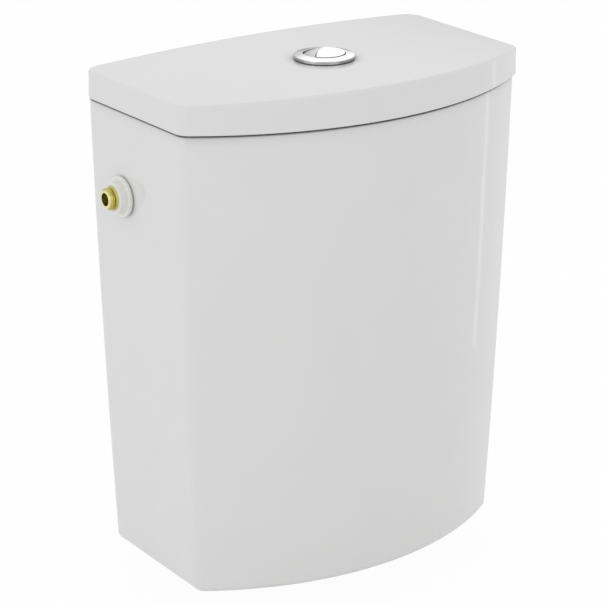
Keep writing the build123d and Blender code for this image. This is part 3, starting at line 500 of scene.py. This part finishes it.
# Push button: ABS housing in the lid, held by a lobed nut from below. Its bezel and the full
# key are bright chrome plate on ABS, the half key is satin plated, and each key is screwed to
# its rod over a return spring.
chrome_tone = "#FFFFFF"
# painted reflection: the grey the chrome top turns towards the back
chrome_painted_dim = "#BFC1C2"
# painted reflection on the chrome sides, and the painted shade along their foot
chrome_painted_side = ("#9E9E9F", "#CECED0")
chrome_painted_foot_shade = "#49494A"
chrome_roughness = (0.03, 0.09)
satin_tone = "#DADADA"
satin_painted_shade = "#A6A6A5"
satin_roughness = (0.26, 0.4)
satin_grain = 0.3 * mm
satin_grain_height = 0.004 * mm
polish_patch = 12 * mm
side_patch = 20 * mm
side_patch_edge = (0.4, 0.6)
painted_foot_line = (0.275 * mm, 1.1 * mm)
side_round_share = 0.85
bezel_side = (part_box("button_ring")[0].z, 3.1 * mm)
key_side = (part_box("full_flush_button")[1].z - 0.7 * mm, 0.4 * mm)
# painted reflection and painted shade: the direction and span along which finishes turn lighter
painted_light_waver = 6 * mm
painted_light_way = Vector((0.2, -0.98, 0))
bezel_painted_light = (painted_light_way, -13 * mm, 0.0)
key_painted_light = (painted_light_way, -50 * mm, -30 * mm)
# painted shade: the half key turns darker away from the dividing line
half_key_painted_shade = (Vector((0.82, -0.57, 0)), -18 * mm, -6 * mm)


def painted_light_share(tree, place, waver, lit_span):
    """Share of the lighter painted tone: nothing to one along a direction, with a wavering border."""
    direction, low, high = lit_span
    along = add(tree, "ShaderNodeVectorMath", {0: place, 1: direction}, operation="DOT_PRODUCT")
    border = add(tree, "ShaderNodeMath", {
        0: waver, 1: painted_light_waver, 2: along.outputs["Value"]}, operation="MULTIPLY_ADD")
    return add(tree, "ShaderNodeMapRange", {
        "Value": border.outputs["Value"], "From Min": low + painted_light_waver / 2,
        "From Max": high + painted_light_waver / 2}, interpolation_type="SMOOTHSTEP").outputs["Result"]


def painted_side_reflection(tree, place, height, foot):
    """Painted reflection on a chrome side: the room's greys in soft patches, painted shade along its
    foot.
    """
    patches = add(tree, "ShaderNodeTexNoise", {
        "Vector": place, "Scale": 1 / side_patch, "Detail": 1.0})
    share = add(tree, "ShaderNodeMapRange", {
        "Value": patches.outputs["Fac"], "From Min": side_patch_edge[0],
        "From Max": side_patch_edge[1]}, interpolation_type="SMOOTHSTEP")
    greys = add(tree, "ShaderNodeMix", {
        0: share.outputs["Result"], 6: linear(chrome_painted_side[0]), 7: linear(chrome_painted_side[1])},
        data_type="RGBA")
    line = add(tree, "ShaderNodeMapRange", {
        "Value": height, "From Min": foot + painted_foot_line[0],
        "From Max": foot + painted_foot_line[1]}, interpolation_type="SMOOTHSTEP")
    return add(tree, "ShaderNodeMix", {
        0: line.outputs["Result"], 6: linear(chrome_painted_foot_shade), 7: greys.outputs[2]},
        data_type="RGBA").outputs[2]


def bright_chrome(name, side, lit_span):
    """Bright chrome plate: a cool mirror, with a painted reflection that is white at the front and
    grey at the back. Its side shows a painted reflection of the room's greys, up to the rounded edge."""
    material, tree, place = new_material(name)
    foot, rise = side
    height = add(tree, "ShaderNodeSeparateXYZ", {"Vector": place}).outputs["Z"]
    haze = add(tree, "ShaderNodeTexNoise", {
        "Vector": place, "Scale": 1 / polish_patch, "Detail": 3.0})
    rough = add(tree, "ShaderNodeMapRange", {
        "Value": haze.outputs["Fac"], "To Min": chrome_roughness[0], "To Max": chrome_roughness[1]})
    top = add(tree, "ShaderNodeMix", {
        0: painted_light_share(tree, place, haze.outputs["Fac"], lit_span), 6: linear(chrome_painted_dim),
        7: linear(chrome_tone)}, data_type="RGBA")
    edge = add(tree, "ShaderNodeMapRange", {
        "Value": height, "From Min": foot + rise * side_round_share, "From Max": foot + rise})
    tone = add(tree, "ShaderNodeMix", {
        0: edge.outputs["Result"], 6: painted_side_reflection(tree, place, height, foot), 7: top.outputs[2]},
        data_type="RGBA")
    shader = add(tree, "ShaderNodeBsdfPrincipled", {
        "Base Color": tone.outputs[2], "Metallic": 1.0, "Roughness": rough.outputs["Result"]})
    add(tree, "ShaderNodeOutputMaterial", {"Surface": shader.outputs["BSDF"]})
    return material


def satin_chrome(name):
    """Satin chrome plate: blasted before plating, so it is an even grey with a soft sheen, and painted
    shade makes it darker towards its rim. The blasted grain is drawn coarser than it is, so that it
    shows."""
    material, tree, place = new_material(name)
    grain = add(tree, "ShaderNodeTexNoise", {
        "Vector": place, "Scale": 1 / satin_grain, "Detail": 2.0})
    rough = add(tree, "ShaderNodeMapRange", {
        "Value": grain.outputs["Fac"], "To Min": satin_roughness[0], "To Max": satin_roughness[1]})
    skin = add(tree, "ShaderNodeBump", {
        "Height": grain.outputs["Fac"], "Distance": satin_grain_height})
    tone = add(tree, "ShaderNodeMix", {
        0: painted_light_share(tree, place, grain.outputs["Fac"], half_key_painted_shade), 6: linear(satin_painted_shade),
        7: linear(satin_tone)}, data_type="RGBA")
    shader = add(tree, "ShaderNodeBsdfPrincipled", {
        "Base Color": tone.outputs[2], "Metallic": 1.0, "Roughness": rough.outputs["Result"],
        "Normal": skin.outputs["Normal"]})
    add(tree, "ShaderNodeOutputMaterial", {"Surface": shader.outputs["BSDF"]})
    return material


def return_spring(side, material):
    """A coil of drawn wire with the CAD coil's shape."""
    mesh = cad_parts[side + "_button_spring"].data.copy()
    mesh.materials.clear()
    mesh.materials.append(material)
    spring = bpy.data.objects.new(side + "_return_spring", mesh)
    bpy.context.scene.collection.objects.link(spring)
    return spring


dress(grey_abs, "button_housing")
dress(white_polypropylene, "button_nut", "full_push_rod", "half_push_rod")
dress(bright_chrome("Bright_chrome_ring", bezel_side, bezel_painted_light), "button_ring")
dress(bright_chrome("Bright_chrome_key", key_side, key_painted_light), "full_flush_button")
dress(satin_chrome("Satin_chrome_plate"), "half_flush_button")
for side in ("full", "half"):
    spring = return_spring(side, stainless_steel)
    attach(spring, "lid")
    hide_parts(side + "_button_spring")
    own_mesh(spring)


# Studio: a pale floor under the flush tail, an even white room all round, a softbox on the left and
# a tall strip light on the right. Behind the object stands a card that only reflections see: it is
# grey low down, and shows in the chrome and at the back of the lid.
floor_tone = "#F2F2F1"
floor_size = 6.0
floor_white_share = 0.96
room_tone = "#F7F7F7"
room_level = 1.02
left_softbox = {
    "place": Vector((-1.42, -0.32, 0.45)), "aim": Vector((0, 0, 0.18)),
    "width": 0.5, "height": 0.5, "watts": 1.1}
right_strip = {
    "place": Vector((0.45, -0.075, 0.19)), "aim": Vector((0, -0.075, 0.19)),
    "width": 0.016, "height": 0.36, "watts": 0.011}
card_place = Vector((0.86, 1.23, 0.0))
card_size = (2.4, 1.06)
card_tone = 0.5
card_grade = (0.4, 0.8)
photo_place = Vector((-1.0501, -1.4716, 0.8561))
photo_yaw = 34.97
photo_pitch = -20.04
photo_lens = 148.65


def seen_share(tree):
    """One for a ray that shows a surface, straight, mirrored or through glass, and nothing for a
    ray that gathers its light."""
    rays = add(tree, "ShaderNodeLightPath")
    shown = add(tree, "ShaderNodeMath", {
        0: rays.outputs["Is Camera Ray"], 1: rays.outputs["Is Glossy Ray"]}, operation="MAXIMUM")
    return add(tree, "ShaderNodeMath", {
        0: shown.outputs["Value"], 1: rays.outputs["Is Transmission Ray"]},
        operation="MAXIMUM").outputs["Value"]


def studio_floor():
    """A pale matt floor, plain white where the camera or a reflection sees it, apart from the
    object's shadow."""
    low = cad_box[0][2]
    half = floor_size / 2
    mesh = bpy.data.meshes.new("studio_floor")
    corners = [(-half, -half, low), (half, -half, low), (half, half, low), (-half, half, low)]
    mesh.from_pydata(corners, [], [(0, 1, 2, 3)])
    floor = bpy.data.objects.new("studio_floor", mesh)
    bpy.context.scene.collection.objects.link(floor)
    material, tree, _ = new_material("Matt_paper")
    share = add(tree, "ShaderNodeMath", {
        0: seen_share(tree), 1: floor_white_share}, operation="MULTIPLY")
    paper = add(tree, "ShaderNodeBsdfDiffuse", {"Color": linear(floor_tone)})
    white = add(tree, "ShaderNodeEmission", {"Strength": 1.0})
    both = add(tree, "ShaderNodeMixShader", {
        0: share.outputs["Value"], 1: paper.outputs["BSDF"], 2: white.outputs["Emission"]})
    add(tree, "ShaderNodeOutputMaterial", {"Surface": both.outputs["Shader"]})
    mesh.materials.append(material)


def studio_world():
    """White where it is seen or reflected, and a little lower as light on matt surfaces."""
    world = bpy.data.worlds.new("studio_world")
    world.use_nodes = True
    tree = world.node_tree
    tree.nodes.clear()
    room = add(tree, "ShaderNodeBackground", {"Color": linear(room_tone), "Strength": room_level})
    white = add(tree, "ShaderNodeBackground", {"Color": (1, 1, 1, 1), "Strength": 1.0})
    both = add(tree, "ShaderNodeMixShader", {
        0: seen_share(tree), 1: room.outputs["Background"], 2: white.outputs["Background"]})
    add(tree, "ShaderNodeOutputWorld", {"Surface": both.outputs["Shader"]})
    bpy.context.scene.world = world


def softbox(name, place, aim, width, height, watts):
    """A rectangular lamp that faces a point, with its height upright."""
    light = bpy.data.lights.new(name, "AREA")
    light.shape = "RECTANGLE"
    light.size = width
    light.size_y = height
    light.energy = watts
    lamp = bpy.data.objects.new(name, light)
    lamp.location = place
    lamp.rotation_euler = (aim - place).to_track_quat("-Z", "Y").to_euler()
    lamp.visible_camera = False
    bpy.context.scene.collection.objects.link(lamp)


def grey_card():
    """A card across the photo's line of sight, darkest at the bottom and white at its top edge."""
    half, high = card_size[0] / 2, card_size[1]
    mesh = bpy.data.meshes.new("grey_card")
    corners = [(-half, 0, 0), (half, 0, 0), (half, 0, high), (-half, 0, high)]
    mesh.from_pydata(corners, [], [(0, 1, 2, 3)])
    mesh.transform(Matrix.Translation(card_place) @ Matrix.Rotation(radians(-photo_yaw), 4, "Z"))
    card = bpy.data.objects.new("grey_card", mesh)
    bpy.context.scene.collection.objects.link(card)
    material, tree, place = new_material("Graded_card")
    height = add(tree, "ShaderNodeSeparateXYZ", {"Vector": place})
    level = add(tree, "ShaderNodeMapRange", {
        "Value": height.outputs["Z"], "From Min": card_grade[0], "From Max": card_grade[1],
        "To Min": card_tone}, interpolation_type="SMOOTHSTEP")
    paper = add(tree, "ShaderNodeEmission", {"Strength": level.outputs["Result"]})
    add(tree, "ShaderNodeOutputMaterial", {"Surface": paper.outputs["Emission"]})
    mesh.materials.append(material)
    for ray in ("camera", "diffuse", "transmission", "volume_scatter", "shadow"):
        setattr(card, "visible_" + ray, False)


def photo_camera():
    camera = bpy.data.objects.new("photo_camera", bpy.data.cameras.new("photo_camera"))
    camera.data.lens = photo_lens
    camera.location = photo_place
    camera.rotation_euler = (radians(90 + photo_pitch), 0, radians(-photo_yaw))
    bpy.context.scene.collection.objects.link(camera)
    bpy.context.scene.camera = camera


studio_floor()
studio_world()
grey_card()
softbox("left_softbox", **left_softbox)
softbox("right_strip", **right_strip)
photo_camera()
bpy.context.scene.view_settings.view_transform = "Standard"
